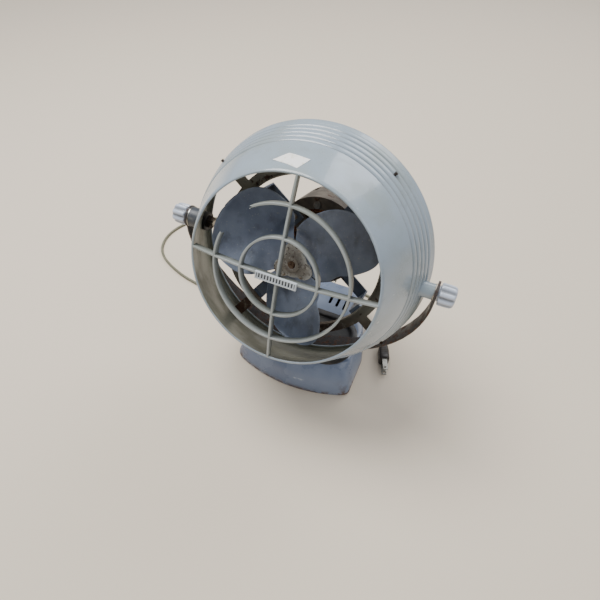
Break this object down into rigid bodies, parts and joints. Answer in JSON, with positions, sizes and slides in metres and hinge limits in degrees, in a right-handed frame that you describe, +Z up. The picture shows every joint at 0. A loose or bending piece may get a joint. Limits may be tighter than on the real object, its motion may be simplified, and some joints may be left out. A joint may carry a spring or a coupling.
{
  "type": "desk fan",
  "caption": "Drum-shaped desk fan: a wheel and motor inside a ribbed plastic drum that tilts in a half-hoop yoke, which swivels on a low enamelled base.",
  "frame": {"origin": "on the surface the fan stands on, straight below the tilt axis and on the swivel axis", "axes": "+Z up, +X to the right along the tilt axis as seen from the front, -Y towards the front grille"},
  "size_m": [0.4713, 0.3241, 0.3221],
  "materials": {
    "drum_plastic": "aged glossy blue-grey plastic",
    "grille_plastic": "aged glossy blue-grey plastic, pale worn edges",
    "badge": "pale fluted plastic strip",
    "ring_steel": "tan-grey paint, rusty at the bottom",
    "dark_fixing": "dull dark steel",
    "bright_fixing": "dull zinc-plated steel",
    "bracket_paint": "blue-grey paint",
    "motor_paint": "tan-brown paint",
    "lamination": "stacked steel sheet",
    "copper": "varnished copper wire",
    "bronze": "oiled sintered bronze",
    "shaft_steel": "turned steel",
    "hub_metal": "corroded cream-grey paint",
    "blade_paint": "satin blue-grey paint with dust",
    "dark_boss": "dark grey plastic",
    "black_rubber": "matt black rubber",
    "knob_plastic": "pale blue-white plastic",
    "yoke_paint": "dark paint flaking to rust",
    "base_enamel": "blue-grey enamel with worn brown edges",
    "black_plate": "dusty black paint",
    "cover_steel": "dull dark paint",
    "switch_plastic": "black moulded plastic",
    "toggle_metal": "dull nickel",
    "cord_rubber": "dusty olive-grey sheath",
    "plug_plastic": "brown moulded plastic",
    "plug_brass": "dull nickel plating"
  },
  "bodies": {
    "base": {"base_shell": "base_enamel", "base_posts": "base_enamel", "top_plate": "black_plate", "bottom_plate": "cover_steel", "base_pad": "black_rubber", "base_screws": "bright_fixing", "switch_body": "switch_plastic", "strain_relief": "black_rubber", "cord": "cord_rubber", "cord_coil": "cord_rubber", "plug_body": "plug_plastic", "plug_blades": "plug_brass"},
    "yoke": {"yoke_hoop": "yoke_paint", "swivel_saddle": "cover_steel", "swivel_bolt": "bright_fixing", "swivel_nut": "bright_fixing"},
    "head": {"drum_shell": "drum_plastic", "front_grille": "grille_plastic", "badge_plate": "badge", "support_ring": "ring_steel", "ring_screws": "dark_fixing", "motor_arms": "bracket_paint", "arm_screws": "bright_fixing", "motor_front": "motor_paint", "motor_can": "motor_paint", "stator_core": "lamination", "stator_coils": "copper", "through_bolts": "bright_fixing", "front_bush": "bronze", "rear_bush": "bronze", "right_boss": "drum_plastic", "left_boss": "dark_boss", "pivot_grommets": "black_rubber", "pivot_nuts": "dark_fixing", "right_stud": "bright_fixing", "left_stud": "bright_fixing", "pivot_washers": "bright_fixing"},
    "fan_wheel": {"rotor": "lamination", "shaft": "shaft_steel", "hub_boss": "hub_metal", "hub_plate": "hub_metal", "hub_screw": "dark_fixing", "blade_1": "blade_paint", "blade_2": "blade_paint", "blade_3": "blade_paint", "blade_rivets": "bright_fixing"},
    "knob_right": {"right_knob": "knob_plastic"},
    "knob_left": {"left_knob": "knob_plastic"},
    "toggle": {"switch_toggle": "toggle_metal"}
  },
  "joints": [
    {"name": "base_swivel", "type": "hinge", "parent": "base", "child": "yoke", "pos_m": [0, 0, 0.04], "axis": [0, 0, 1], "range_deg": [-60, 60]},
    {"name": "head_tilt", "type": "hinge", "parent": "yoke", "child": "head", "pos_m": [0, 0, 0.2], "axis": [1, 0, 0], "range_deg": [-68, 66]},
    {"name": "fan_spin", "type": "hinge", "parent": "head", "child": "fan_wheel", "pos_m": [0, 0, 0.2], "axis": [0, 0.9317, -0.3633], "continuous": true},
    {"name": "right_knob_turn", "type": "hinge", "parent": "head", "child": "knob_right", "pos_m": [0.15, 0, 0.2], "axis": [1, 0, 0], "continuous": true},
    {"name": "left_knob_turn", "type": "hinge", "parent": "head", "child": "knob_left", "pos_m": [-0.15, 0, 0.2], "axis": [-1, 0, 0], "continuous": true},
    {"name": "switch_throw", "type": "hinge", "parent": "base", "child": "toggle", "pos_m": [0, 0.119, 0.022], "axis": [1, 0, 0], "range_deg": [-30, 0]}
  ]
}
